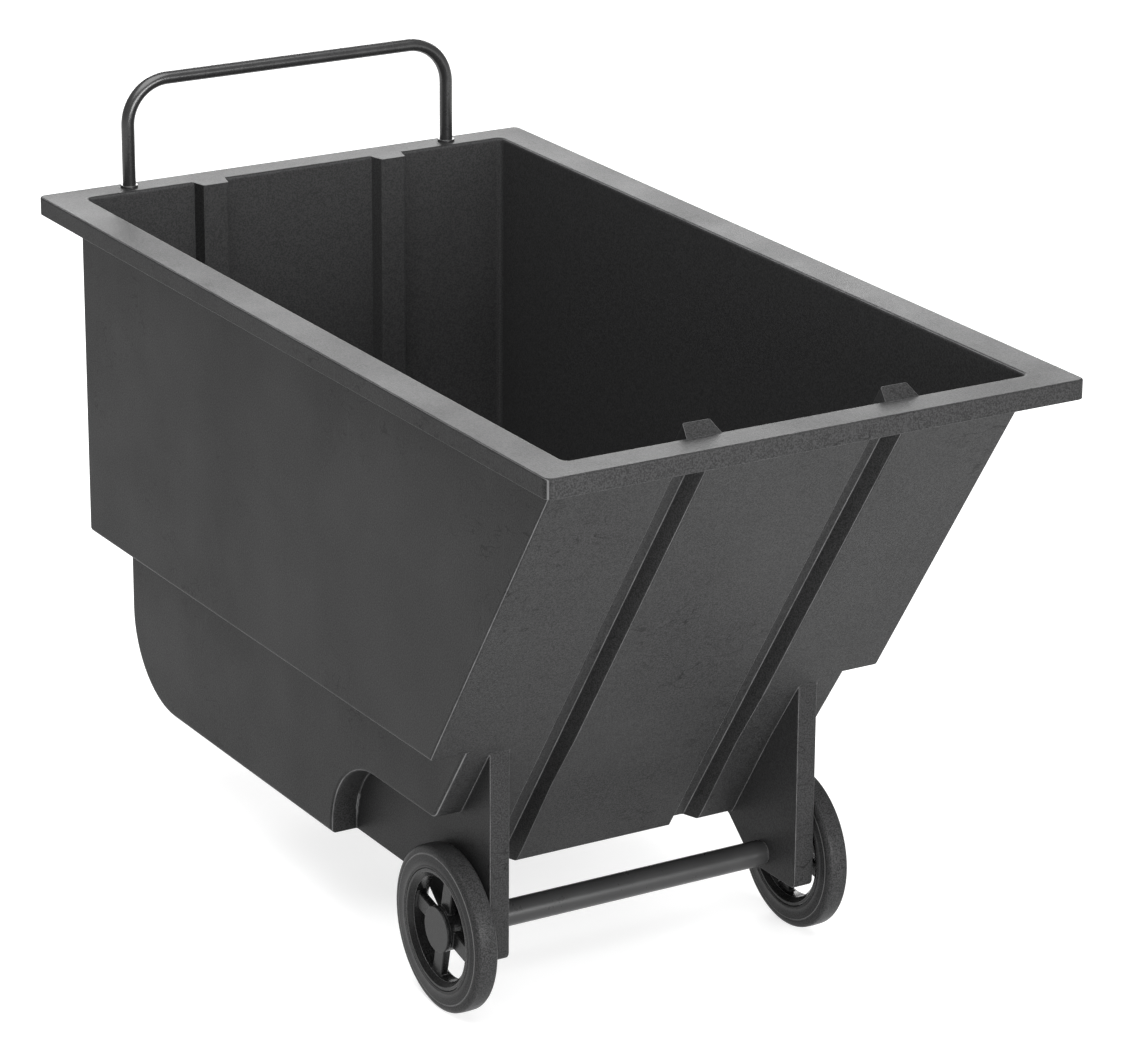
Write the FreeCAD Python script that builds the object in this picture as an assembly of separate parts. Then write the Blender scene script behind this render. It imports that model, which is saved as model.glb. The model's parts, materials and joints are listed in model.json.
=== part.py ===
"""Wheeled hopper cart for waste: one moulded plastic tub with a flanged rim and two axle legs,
a bent rod handle, a fixed axle with two spoked wheels, and one swivel caster under the heel.

Frame: millimetres, +Z up, the floor at z = 0, the origin under the middle of the rim.
-Y is the sloped, tipping end over the axle, +Y is the handle end, X runs across the cart.
"""
import FreeCAD, Part
import math
import os

V = FreeCAD.Vector
X_AXIS = V(1, 0, 0)
Z_AXIS = V(0, 0, 1)

# Rim: a flat flange round the mouth with a lip turned down at its edge.
RIM_TOP = 812.0
RIM_WIDTH = 712.0
RIM_LENGTH = 1290.0
RIM_THICK = 7.0
LIP_HEIGHT = 24.0
LIP_THICK = 6.0
RIM_CORNER = 10.0
RIM_EDGE = 2.5
LIP_FOOT_EDGE = 1.25
MOUTH_EDGE = 4.0

# Tub walls. The front wall is one sloped plane, the upper box is wider than the lower body.
WALL = 6.5
UPPER_HALF = 313.0
LOWER_HALF = 265.0
WELL_HALF = 229.5
BACK_Y = 609.0
LOW_BACK_Y = 587.0
STEP_Z = 358.5
BOTTOM_Z = 132.0
HEEL_RADIUS = 118.0
SLOPE_Y_AT_STEP = -309.0
SLOPE_RUN = 0.6594
CREASE_Z = 264.0
CREASE_DEPTH = 3.0
CREASE_RADIUS = 60.0
STEP_BEND_RADIUS = 150.0
UPPER_EDGE = 4.2
UPPER_INNER_EDGE = 8.0
STEP_EDGE = 5.5
LOWER_EDGE = 8.0
LOWER_TOP_Z = STEP_Z + 30.0

# Wheel wells: the lower body is narrower here, below a roof with a round back corner.
WELL_ROOF = 247.0
WELL_BACK_Y = 28.0
WELL_RADIUS = 107.0
CHEEK_CORNER = 20.0
CHEEK_EDGE = 6.0
CHEEK_OVERLAP = 12.0

# Legs that carry the axle.
LEG_IN = 202.5
LEG_FRONT_Y = -303.5
LEG_FOOT_Z = 79.5
LEG_CORNER = 9.0
LEG_HEEL_Y = -207.0
LEG_HEEL_RADIUS = 12.0
LEG_BACK_RADIUS = 14.0
LEG_BACK_Y = -152.0
LEG_BACK_Z = 125.0
LEG_TOP_Z = 351.3
LEG_ROOT_Y = -120.0
LEG_ROOT_Z = 140.0
LEG_ROOT_TOP_Z = 311.3
LEG_EDGE_TOP_Z = 348.3
LEG_EDGE_BACK_Y = -232.0
LEG_EDGE = 2.5
LEG_FILLET = 2.5
LEG_FILLET_FOOT_Z = 134.0

# Stiffening ribs: a groove outside and a rib inside, two on the slope and two on the back wall.
RIB_X = 131.0
GROOVE_OPEN = 43.0
GROOVE_FLOOR = 26.0
GROOVE_DEPTH = 20.0
RIB_BASE = 48.0
RIB_CREST = 35.0
RIB_EDGE = 3.0
RIB_END_Y = -603.0
RIB_END_RISE = 60.0
RIB_BAR_LENGTH = 1100.0
RIB_FOOT_Z = STEP_Z - 20.0
GROOVE_LIP = 2.5
GROOVE_CORNER = 4.0
GROOVE_LEAD = 6.0
GROOVE_TOP = 801.0

# Handle: one bent rod with a thinner threaded stub at each foot.
HANDLE_X = 235.0
HANDLE_Y = 626.0
HANDLE_ROD = 17.3
HANDLE_TOP = 950.0
HANDLE_BEND = 57.0
STUB_ROD = 12.0
STUB_FOOT_Z = 785.0
COLLAR_ROD = 23.0
COLLAR_HEIGHT = 3.0
COLLAR_EDGE = 1.2
NUT_FLATS = 19.0
NUT_HEIGHT = 10.5
WASHER_ROD = 24.0
WASHER_THICK = 2.0

# Main axle.
AXLE_Y = -231.3
WHEEL_RADIUS = 103.5
AXLE_Z = WHEEL_RADIUS
AXLE_ROD = 12.7
AXLE_END_X = 257.0
AXLE_END_EDGE = 1.0
TUBE_ROD = 32.6
TUBE_BORE = 27.0
TUBE_END_X = 199.0
BUSH_ROD = 20.0
BUSH_FLANGE_ROD = 29.0
RUN_GAP = 0.1
SIDE_GAP = 0.3
INNER_WASHER_ROD = 30.0
OUTER_WASHER_ROD = 26.0
OUTER_WASHER_X = 252.5
PUSH_NUT_ROD = 22.0
PUSH_NUT_X = 255.5

# Main wheels.
HUB_IN_X = 232.2
HUB_ROD = 56.0
HUB_OUT_X = 257.5
HUB_SEAT_X = 250.5
HUB_POCKET_ROD = 36.0
CAP_ROD = 58.0
CAP_FACE_X = 262.5
CAP_EDGE = 1.5
CAP_SKIN = 2.5
CAP_PLUG_WALL = 2.0
CAP_PLUG_DEPTH = 3.0
TYRE_MID_X = 248.2
TYRE_WIDTH = 30.6
TYRE_SEAT = 75.0
TYRE_SEAT_LEAN = 0.8
TYRE_SIDE_R = 78.0
TYRE_SHOULDER = 9.0
RIM_RING_IN = 65.0
RIM_LIP_IN = 71.0
RIM_RING_HALF = 14.5
RIM_TAPER = 6.0
SPOKE_COUNT = 4
SPOKE_TURN = 13.0
SPOKE_WIDTH = 22.0
SPOKE_HALF = 4.8
SPOKE_MID_X = 249.0
SPOKE_EDGE = 2.0
SPOKE_ROOT = 17.0
SPOKE_FILLET = 2.5
SPOKE_OVERLAP = 3.0
RING_EDGE = 1.2

# Swivel caster under the heel: plate, fasteners and swivel.
CASTER_Y = 375.0
PLATE_X = 70.0
PLATE_Y = 95.0
PLATE_THICK = 3.5
PLATE_CORNER = 8.0
PLATE_FOOT_Z = BOTTOM_Z - PLATE_THICK
BOLT_ROD = 8.0
BOLT_REACH = 10.0
BOLT_HEAD_FLATS = 13.0
BOLT_HEAD_HEIGHT = 5.3
BOLT_WASHER_ROD = 16.0
BOLT_WASHER_THICK = 1.6
INSERT_ROD = 12.0
INSERT_LENGTH = 12.0
BOSS_ROD = 26.0
BOSS_TOP_Z = BOTTOM_Z + WALL + 8.0
BOSS_EDGE = 3.0
BOLT_SPACE_X = 46.0
BOLT_SPACE_Y = 72.0
RACE_ROD = 52.0
RACE_LEAN = 4.0
RACE_Z = 120.0
BALL_COUNT = 14
BALL_CIRCLE = 19.0
KINGPIN_ROD = 12.0
KINGPIN_HEAD_ROD = 20.0
KINGPIN_HEAD_HEIGHT = 2.2

# Caster fork and wheel.
CASTER_TRAIL = 34.0
CASTER_RADIUS = 50.0
CASTER_WHEEL_WIDTH = 28.0
CASTER_TYRE_EDGE = 4.0
CASTER_CORE_ROD = 78.0
CASTER_RING_THICK = 6.0
CASTER_WEB_THICK = 8.0
CASTER_HUB_ROD = 24.0
CASTER_HUB_GAP = 0.5
CASTER_RING_INSET = 2.0
CROWN_TOP = 115.0
CROWN_THICK = 4.0
FORK_THICK = 3.5
FORK_IN_HALF = 17.0
FORK_OUT_HALF = FORK_IN_HALF + FORK_THICK
FORK_FRONT = 20.0
FORK_BACK = 30.0
FORK_BACK_LEAN = 8.0
FORK_BACK_RADIUS = 6.0
FORK_TOE = 13.0
FORK_TOE_RADIUS = 12.0
FORK_BOLT_ROD = 8.0
FORK_BOLT_TAIL = 9.0
FORK_BOLT_FLATS = 13.0
FORK_BOLT_HEAD = 5.3
FORK_NUT_HEIGHT = 6.5
SLEEVE_ROD = 12.0

# How far a cutting tool runs past what it cuts.
PAST = 1.0
FAR_PAST = 40.0

# Distances within which a point counts as on a face, as near one, and as inside an area.
ON_FACE = 0.01
NEAR_FACE = 0.1
MARGIN = 0.5

SLOPE_ANGLE = math.atan(SLOPE_RUN)
SLOPE_COS = math.cos(SLOPE_ANGLE)
SLOPE_SIN = math.sin(SLOPE_ANGLE)


def slope_y(z):
    """Outer face of the sloped front wall at height z."""
    return SLOPE_Y_AT_STEP - (z - STEP_Z) * SLOPE_RUN


def bent_slope_y(z):
    """The same face between the step and the crease, where it leans in a little more."""
    return slope_y(z) + CREASE_DEPTH * (STEP_Z - z) / (STEP_Z - CREASE_Z)


def box(x0, x1, y0, y1, z0, z1):
    return Part.makeBox(x1 - x0, y1 - y0, z1 - z0, V(x0, y0, z0))


def rod(radius, start, end):
    """Round bar between two points."""
    along = end - start
    return Part.makeCylinder(radius, along.Length, start, along)


def pipe(radius, bore, start, end):
    return rod(radius, start, end).cut(rod(bore, start, end))


def arc(first, middle, last):
    return Part.Arc(first, middle, last).toShape()


def side_prism(edges, x0, x1):
    """Closed outline in the plane x = 0, made into a solid from x0 to x1."""
    face = Part.Face(Part.Wire(edges))
    face.translate(V(x0, 0, 0))
    return face.extrude(V(x1 - x0, 0, 0))


def on_side(corner):
    """Point of the YZ plane."""
    return V(0, corner[0], corner[1])


def on_plan(corner):
    """Point of the XY plane."""
    return V(corner[0], corner[1], 0)


def outline(corners, point=on_side):
    """Edges of a closed flat outline; a corner is (first, second) or (first, second, radius)."""
    edges = []
    count = len(corners)
    exits = []
    for i, corner in enumerate(corners):
        here = point(corner)
        before = point(corners[i - 1])
        after = point(corners[(i + 1) % count])
        radius = corner[2] if len(corner) > 2 else 0.0
        if radius == 0.0:
            exits.append((here, here))
            continue
        to_before = (before - here).normalize()
        to_after = (after - here).normalize()
        half = to_before.getAngle(to_after) / 2
        reach = radius / math.tan(half)
        first = here + to_before * reach
        last = here + to_after * reach
        centre = here + (to_before + to_after).normalize() * (radius / math.sin(half))
        middle = centre + (here - centre).normalize() * radius
        edges.append(arc(first, middle, last))
        exits.append((first, last))
    for i in range(count):
        start = exits[i][1]
        end = exits[(i + 1) % count][0]
        if (end - start).Length > 1e-6:
            edges.append(Part.makeLine(start, end))
    return Part.__sortEdges__(edges)


def edges_where(shape, test):
    """Edges whose two ends and middle all pass the test."""
    chosen = []
    for edge in shape.Edges:
        middle = edge.valueAt((edge.FirstParameter + edge.LastParameter) / 2)
        points = [vertex.Point for vertex in edge.Vertexes] + [middle]
        if all(test(point) for point in points):
            chosen.append(edge)
    return chosen


def rounded(shape, radius, test):
    chosen = edges_where(shape, test)
    return shape.makeFillet(radius, chosen)


def upper_box(inset):
    """Wide upper part of the tub, as its outside (inset 0) or as the hollow inside it."""
    top = RIM_TOP if inset == 0 else RIM_TOP + FAR_PAST
    front = inset / SLOPE_COS
    half = UPPER_HALF - inset
    floor = STEP_Z + inset
    back = BACK_Y - inset
    corners = [(slope_y(top) + front, top), (slope_y(floor) + front, floor), (back, floor), (back, top)]
    solid = side_prism(outline(corners), -half, half)

    def upright(point):
        return abs(abs(point.x) - half) < ON_FACE and (
            abs(point.y - back) < ON_FACE or abs(point.y - slope_y(point.z) - front) < ON_FACE
        )

    def step(point):
        return abs(point.z - floor) < ON_FACE and (
            abs(abs(point.x) - half) < ON_FACE or abs(point.y - back) < ON_FACE
        )

    upright_edge = UPPER_EDGE if inset == 0 else UPPER_INNER_EDGE
    solid = rounded(solid, upright_edge, upright)
    return rounded(solid, STEP_EDGE, step)


def lower_centre(inset):
    """Lower body between the wheel wells."""
    front = inset / SLOPE_COS
    floor = BOTTOM_Z + inset
    back = LOW_BACK_Y - inset
    top = LOWER_TOP_Z
    corners = [
        (slope_y(top) + front, top),
        (slope_y(STEP_Z) + front, STEP_Z, STEP_BEND_RADIUS),
        (bent_slope_y(CREASE_Z) + front, CREASE_Z, CREASE_RADIUS),
        (slope_y(floor) + front, floor, LOWER_EDGE),
        (back, floor, HEEL_RADIUS - inset),
        (back, top),
    ]
    half = WELL_HALF - inset
    return side_prism(outline(corners), -half, half)


def cheek(inset, side):
    """Lower body outside the well's inner face: the well leaves it a roof and a round back corner."""
    front = inset / SLOPE_COS
    floor = BOTTOM_Z + inset
    roof = WELL_ROOF + inset
    well_back = WELL_BACK_Y + inset
    back = LOW_BACK_Y - inset
    top = LOWER_TOP_Z
    corners = [
        (slope_y(top) + front, top),
        (slope_y(STEP_Z) + front, STEP_Z, STEP_BEND_RADIUS),
        (bent_slope_y(roof) + front, roof, CHEEK_CORNER),
        (well_back, roof, WELL_RADIUS),
        (well_back, floor),
        (back, floor, HEEL_RADIUS - inset),
        (back, top),
    ]
    inner = WELL_HALF - inset - CHEEK_OVERLAP
    outer = LOWER_HALF - inset
    solid = side_prism(outline(corners), inner, outer)

    def face_edge(point):
        return abs(point.x - outer) < ON_FACE and point.z < top - MARGIN

    solid = rounded(solid, CHEEK_EDGE, face_edge)
    return solid if side > 0 else solid.mirror(V(0, 0, 0), X_AXIS)


def tub_body(inset):
    parts = [lower_centre(inset), cheek(inset, -1), cheek(inset, 1)]
    return upper_box(inset).multiFuse(parts)


def flange():
    """Rim plate with the lip turned down all round it."""
    half_x = RIM_WIDTH / 2
    half_y = RIM_LENGTH / 2
    lip_foot = RIM_TOP - LIP_HEIGHT
    block = box(-half_x, half_x, -half_y, half_y, lip_foot, RIM_TOP)

    def corner(point):
        return abs(abs(point.x) - half_x) < ON_FACE and abs(abs(point.y) - half_y) < ON_FACE

    block = rounded(block, RIM_CORNER, corner)
    block = rounded(block, RIM_EDGE, lambda p: abs(p.z - RIM_TOP) < ON_FACE)
    block = rounded(block, LIP_FOOT_EDGE, lambda p: abs(p.z - lip_foot) < ON_FACE)
    hollow = box(
        LIP_THICK - half_x, half_x - LIP_THICK, LIP_THICK - half_y, half_y - LIP_THICK,
        lip_foot - PAST, RIM_TOP - RIM_THICK,
    )
    return block.cut(hollow)


def leg(side):
    """Flat leg in front of the well's inner face, from the slope down to the axle."""
    corners = [
        (LEG_FRONT_Y, LEG_TOP_Z),
        (LEG_FRONT_Y, LEG_FOOT_Z, LEG_CORNER),
        (LEG_HEEL_Y, LEG_FOOT_Z, LEG_HEEL_RADIUS),
        (LEG_BACK_Y, LEG_BACK_Z, LEG_BACK_RADIUS),
        (LEG_ROOT_Y, LEG_ROOT_Z),
        (LEG_ROOT_Y, LEG_ROOT_TOP_Z),
    ]
    solid = side_prism(outline(corners), LEG_IN, WELL_HALF)
    solid = rounded(solid, LEG_EDGE, lambda p: p.z < LEG_EDGE_TOP_Z and p.y < LEG_EDGE_BACK_Y)
    return solid if side > 0 else solid.mirror(V(0, 0, 0), X_AXIS)


def trapezoid(wide, narrow, deep, length):
    """Bar along +Z with its wide face on y = 0 and its narrow face on y = deep."""
    points = [V(-wide / 2, 0, 0), V(wide / 2, 0, 0), V(narrow / 2, deep, 0), V(-narrow / 2, deep, 0)]
    face = Part.Face(Part.makePolygon(points + points[:1]))
    return face.extrude(V(0, 0, length))


def on_slope(solid, x):
    """Put a bar that stands along +Z onto the outer face of the slope."""
    placed = solid.copy()
    placed.rotate(V(0, 0, 0), X_AXIS, math.degrees(SLOPE_ANGLE))
    placed.translate(V(x, slope_y(0.0), 0))
    return placed


def rib_bar(length):
    """Rib section along +Z, its crest edges rounded."""
    deep = WALL + GROOVE_DEPTH
    bar = trapezoid(RIB_BASE, RIB_CREST, deep, length)

    def crest_edge(point):
        return abs(point.y - deep) < ON_FACE and abs(abs(point.x) - RIB_CREST / 2) < ON_FACE

    return rounded(bar, RIB_EDGE, crest_edge)


def groove_bar(length):
    """Groove tool along +Z: its floor corners are round, and it leaves a round lip on each side."""
    lip = GROOVE_OPEN / 2 + 2 * GROOVE_LIP
    corners = [
        (-lip, -GROOVE_LEAD), (lip, -GROOVE_LEAD), (lip, 0.0), (GROOVE_OPEN / 2, 0.0, GROOVE_LIP),
        (GROOVE_FLOOR / 2, GROOVE_DEPTH, GROOVE_CORNER), (-GROOVE_FLOOR / 2, GROOVE_DEPTH, GROOVE_CORNER),
        (-GROOVE_OPEN / 2, 0.0, GROOVE_LIP), (-lip, 0.0),
    ]
    face = Part.Face(Part.Wire(outline(corners, on_plan)))
    return face.extrude(V(0, 0, length))


def front_rib(x, outside):
    """Rib on the inside of the slope; its top is cut square to the slope, a little above the rim."""
    keep = box(-RIB_BASE, RIB_BASE, -PAST, 2 * GROOVE_DEPTH + WALL, 0.0, rib_end_length())
    rib = on_slope(rib_bar(RIB_BAR_LENGTH).common(keep), x)
    above = box(
        x - RIB_BASE, x + RIB_BASE, RIB_END_Y - RIM_THICK, 0.0, RIM_TOP - RIM_THICK, RIM_TOP + RIB_END_RISE,
    )
    return rib.common(outside.fuse(above))


def rib_end_length():
    """Distance up the slope, from z = 0, to the square cut that meets the rim's inner edge."""
    return (RIM_TOP * SLOPE_COS) - (RIB_END_Y - slope_y(0.0)) * SLOPE_SIN


def front_groove(x):
    return on_slope(groove_bar(GROOVE_TOP / SLOPE_COS), x)


def on_back(solid, x, foot):
    """Put a bar that stands along +Z onto the outer face of the back wall."""
    placed = solid.copy()
    placed.rotate(V(0, 0, 0), Z_AXIS, 180)
    placed.translate(V(x, BACK_Y, foot))
    return placed


def back_rib(x, outside):
    """Rib on the inside of the back wall, level with the rim at its top."""
    return on_back(rib_bar(RIM_TOP - RIB_FOOT_Z), x, RIB_FOOT_Z).common(outside)


def back_groove(x):
    return on_back(groove_bar(GROOVE_TOP - STEP_Z), x, STEP_Z)


def tub():
    outside = tub_body(0.0)
    inside = tub_body(WALL)
    shell = outside.multiFuse([flange(), leg(-1), leg(1)]).removeSplitter()
    shell = blend_legs(shell)
    shell = shell.cut(inside)
    shell = round_mouth(shell)
    ribs = []
    grooves = []
    for x in (-RIB_X, RIB_X):
        ribs += [front_rib(x, outside), back_rib(x, outside)]
        grooves += [front_groove(x), back_groove(x)]
    shell = shell.multiFuse(ribs)
    for groove in grooves:
        shell = shell.cut(groove)
    shell = shell.multiFuse([caster_boss(x, y) for x, y in caster_bolt_places()])
    return shell.cut(tub_holes())


def blend_legs(shell):
    """Fillet the inside corners where the legs meet the slope."""

    def leg_root(point):
        on_slope_face = abs(point.y - slope_y(point.z)) < 2 * CREASE_DEPTH
        across = LEG_IN - NEAR_FACE < abs(point.x) < WELL_HALF + NEAR_FACE
        return on_slope_face and across and LEG_FILLET_FOOT_Z < point.z < LEG_TOP_Z

    return rounded(shell, LEG_FILLET, leg_root)


def round_mouth(shell):
    """Round the inner edge of the rim."""
    half = UPPER_HALF - WALL
    front = slope_y(RIM_TOP) + WALL / SLOPE_COS

    def mouth(point):
        inside_x = abs(point.x) < half + MARGIN
        inside_y = front - MARGIN < point.y < BACK_Y - WALL + MARGIN
        return abs(point.z - RIM_TOP) < ON_FACE and inside_x and inside_y

    return rounded(shell, MOUTH_EDGE, mouth)


def caster_boss(x, y):
    """Round boss on the inside of the floor, closed at its top, that holds a threaded insert."""
    boss = rod(BOSS_ROD / 2, V(x, y, BOTTOM_Z + PAST), V(x, y, BOSS_TOP_Z))
    return rounded(boss, BOSS_EDGE, lambda p: abs(p.z - BOSS_TOP_Z) < ON_FACE)


def tub_holes():
    """Holes for the handle stubs, the axle bushes and the caster inserts, as one tool."""
    holes = []
    for x in (-HANDLE_X, HANDLE_X):
        foot = V(x, HANDLE_Y, RIM_TOP - RIM_THICK - PAST)
        holes.append(rod(STUB_ROD / 2 + RUN_GAP, foot, V(x, HANDLE_Y, RIM_TOP + PAST)))
    for side in (-1, 1):
        start = on_axle(side * (LEG_IN - PAST))
        holes.append(rod(BUSH_ROD / 2 + RUN_GAP, start, on_axle(side * (WELL_HALF + PAST))))
    for x, y in caster_bolt_places():
        holes.append(rod(INSERT_ROD / 2, V(x, y, BOTTOM_Z - PAST), V(x, y, BOTTOM_Z + INSERT_LENGTH)))
    return Part.makeCompound(holes)


def handle_bar():
    """Two upright legs, a straight grip and two tangent bends."""
    left = -HANDLE_X
    right = HANDLE_X
    foot = RIM_TOP + COLLAR_HEIGHT
    bend_z = HANDLE_TOP - HANDLE_BEND
    grip_start = V(left + HANDLE_BEND, HANDLE_Y, HANDLE_TOP)
    grip_end = V(right - HANDLE_BEND, HANDLE_Y, HANDLE_TOP)
    diagonal = HANDLE_BEND * (1 - math.cos(math.pi / 4))
    path = Part.Wire([
        Part.makeLine(V(left, HANDLE_Y, foot), V(left, HANDLE_Y, bend_z)),
        arc(V(left, HANDLE_Y, bend_z), V(left + diagonal, HANDLE_Y, HANDLE_TOP - diagonal), grip_start),
        Part.makeLine(grip_start, grip_end),
        arc(grip_end, V(right - diagonal, HANDLE_Y, HANDLE_TOP - diagonal), V(right, HANDLE_Y, bend_z)),
        Part.makeLine(V(right, HANDLE_Y, bend_z), V(right, HANDLE_Y, foot)),
    ])
    circle = Part.makeCircle(HANDLE_ROD / 2, V(left, HANDLE_Y, foot), Z_AXIS)
    bar = path.makePipeShell([Part.Wire(circle)], True, False)
    stubs = [
        rod(STUB_ROD / 2, V(x, HANDLE_Y, STUB_FOOT_Z), V(x, HANDLE_Y, foot + PAST)) for x in (left, right)
    ]
    return bar.multiFuse(stubs).removeSplitter()


def hexagon(flats, height, centre, axis):
    """Hexagonal prism on a base centre, along an axis."""
    corner = flats / 2 / math.cos(math.pi / 6)
    turns = [i * math.pi / 3 for i in range(7)]
    points = [V(corner * math.cos(turn), corner * math.sin(turn), 0) for turn in turns]
    prism = Part.Face(Part.makePolygon(points)).extrude(V(0, 0, height))
    prism.Placement = FreeCAD.Placement(centre, FreeCAD.Rotation(Z_AXIS, axis))
    return prism


def at_handle_feet(make):
    return Part.makeCompound([make(x) for x in (-HANDLE_X, HANDLE_X)])


def handle_collar(x):
    """Shoulder washer between the handle and the rim, with a rounded top edge."""
    base = V(x, HANDLE_Y, RIM_TOP)
    top = V(x, HANDLE_Y, RIM_TOP + COLLAR_HEIGHT)
    ring = rod(COLLAR_ROD / 2, base, top)
    ring = rounded(ring, COLLAR_EDGE, lambda p: abs(p.z - top.z) < ON_FACE)
    return ring.cut(rod(STUB_ROD / 2 + RUN_GAP, base, top))


def handle_washer(x):
    top = V(x, HANDLE_Y, RIM_TOP - RIM_THICK)
    return pipe(WASHER_ROD / 2, STUB_ROD / 2 + RUN_GAP, top - V(0, 0, WASHER_THICK), top)


def handle_nut(x):
    top = RIM_TOP - RIM_THICK - WASHER_THICK
    base = V(x, HANDLE_Y, top - NUT_HEIGHT)
    nut = hexagon(NUT_FLATS, NUT_HEIGHT, base, Z_AXIS)
    return nut.cut(rod(STUB_ROD / 2, base, V(x, HANDLE_Y, top)))


def on_axle(x):
    return V(x, AXLE_Y, AXLE_Z)


def axle_rod():
    bar = rod(AXLE_ROD / 2, on_axle(-AXLE_END_X), on_axle(AXLE_END_X))
    return rounded(bar, AXLE_END_EDGE, lambda p: abs(abs(p.x) - AXLE_END_X) < ON_FACE)


def axle_tube():
    return pipe(TUBE_ROD / 2, TUBE_BORE / 2, on_axle(-TUBE_END_X), on_axle(TUBE_END_X))


def axle_bush(side):
    """Flanged bush in the leg; the tube butts against its flange."""
    sleeve = rod(BUSH_ROD / 2, on_axle(side * TUBE_END_X), on_axle(side * WELL_HALF))
    collar = rod(BUSH_FLANGE_ROD / 2, on_axle(side * TUBE_END_X), on_axle(side * LEG_IN))
    start = on_axle(side * (TUBE_END_X - PAST))
    bore = rod(AXLE_ROD / 2 + RUN_GAP, start, on_axle(side * (WELL_HALF + PAST)))
    return sleeve.fuse(collar).cut(bore)


def rings_on_axle(diameter, gap, near, far):
    """One flat ring on each side of the cart, its bore wider than the axle by the gap."""
    rings = [
        pipe(diameter / 2, AXLE_ROD / 2 + gap, on_axle(side * near), on_axle(side * far)) for side in (-1, 1)
    ]
    return Part.makeCompound(rings)


def across_axle(corner):
    """Point of the plane through the axle; a corner is (distance along X, radius)."""
    return V(corner[0], 0, corner[1])


def revolve_on_axle(corners, side):
    """Ring turned about the axle from an outline of (distance along X, radius) corners."""
    face = Part.Face(Part.Wire(outline(corners, across_axle)))
    ring = face.revolve(V(0, 0, 0), X_AXIS, 360)
    return to_side(ring, side)


def to_side(shape, side):
    """Move a shape made about the X axis for the right-hand wheel onto the axle, on either side."""
    moved = shape if side > 0 else shape.mirror(V(0, 0, 0), X_AXIS)
    moved.translate(V(0, AXLE_Y, AXLE_Z))
    return moved


def from_x_axis(point):
    return math.hypot(point.y, point.z)


def wheel_spokes():
    """Box spokes from the hub to the rim ring, about the X axis."""

    def long_edge(point):
        across = abs(abs(point.y) - SPOKE_WIDTH / 2) < ON_FACE
        return across and abs(abs(point.x - SPOKE_MID_X) - SPOKE_HALF) < ON_FACE

    spokes = []
    for i in range(SPOKE_COUNT):
        spoke = box(
            SPOKE_MID_X - SPOKE_HALF, SPOKE_MID_X + SPOKE_HALF, -SPOKE_WIDTH / 2, SPOKE_WIDTH / 2,
            SPOKE_ROOT, RIM_RING_IN + SPOKE_OVERLAP,
        )
        spoke = rounded(spoke, SPOKE_EDGE, long_edge)
        spoke.rotate(V(0, 0, 0), X_AXIS, SPOKE_TURN + i * 360.0 / SPOKE_COUNT)
        spokes.append(spoke)
    return spokes


def along_x(radius, near, far):
    return rod(radius, V(near, 0, 0), V(far, 0, 0))


def rim_ring():
    """Ring under the tyre, about the X axis; its bore opens out to a narrow lip at each face."""
    low = TYRE_MID_X - RIM_RING_HALF
    high = TYRE_MID_X + RIM_RING_HALF
    corners = [
        (low, RIM_LIP_IN), (low + RIM_TAPER, RIM_RING_IN), (high - RIM_TAPER, RIM_RING_IN),
        (high, RIM_LIP_IN), (high, TYRE_SEAT), (low, TYRE_SEAT),
    ]
    face = Part.Face(Part.Wire(outline(corners, across_axle)))
    ring = face.revolve(V(0, 0, 0), X_AXIS, 360)
    ring.rotate(V(0, 0, 0), X_AXIS, SPOKE_TURN + 180.0 / SPOKE_COUNT)
    return ring


def wheel_rim(side):
    """Moulded wheel: hub with a pocket for the retainer, spokes, and a ring under the tyre."""
    hub = along_x(HUB_ROD / 2, HUB_IN_X, HUB_OUT_X)
    hub.rotate(V(0, 0, 0), X_AXIS, SPOKE_TURN + 180.0 / SPOKE_COUNT)
    wheel = hub.multiFuse([rim_ring()] + wheel_spokes()).removeSplitter()

    def spoke_end(point):
        away = from_x_axis(point)
        on_round_face = abs(away - RIM_RING_IN) < NEAR_FACE or abs(away - HUB_ROD / 2) < NEAR_FACE
        return on_round_face and abs(point.x - SPOKE_MID_X) < SPOKE_HALF + NEAR_FACE

    def ring_edge(point):
        on_side_face = abs(abs(point.x - TYRE_MID_X) - RIM_RING_HALF) < ON_FACE
        return on_side_face and from_x_axis(point) > RIM_RING_IN - NEAR_FACE

    wheel = rounded(wheel, SPOKE_FILLET, spoke_end)
    wheel = rounded(wheel, RING_EDGE, ring_edge)
    wheel = wheel.cut(along_x(BUSH_ROD / 2, HUB_IN_X - PAST, HUB_SEAT_X + PAST))
    wheel = wheel.cut(along_x(HUB_POCKET_ROD / 2, HUB_SEAT_X, HUB_OUT_X + PAST))
    return to_side(wheel, side)


def tyre(side):
    """Solid tyre with round shoulders, a flat tread and sidewalls that lean in to the seat."""
    low = TYRE_MID_X - TYRE_WIDTH / 2
    high = TYRE_MID_X + TYRE_WIDTH / 2
    return revolve_on_axle([
        (low + TYRE_SEAT_LEAN, TYRE_SEAT), (high - TYRE_SEAT_LEAN, TYRE_SEAT), (high, TYRE_SIDE_R),
        (high, WHEEL_RADIUS, TYRE_SHOULDER), (low, WHEEL_RADIUS, TYRE_SHOULDER), (low, TYRE_SIDE_R),
    ], side)


def wheel_bush(side):
    return revolve_on_axle([
        (HUB_IN_X, AXLE_ROD / 2 + RUN_GAP), (HUB_SEAT_X, AXLE_ROD / 2 + RUN_GAP),
        (HUB_SEAT_X, BUSH_ROD / 2), (HUB_IN_X, BUSH_ROD / 2),
    ], side)


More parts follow.
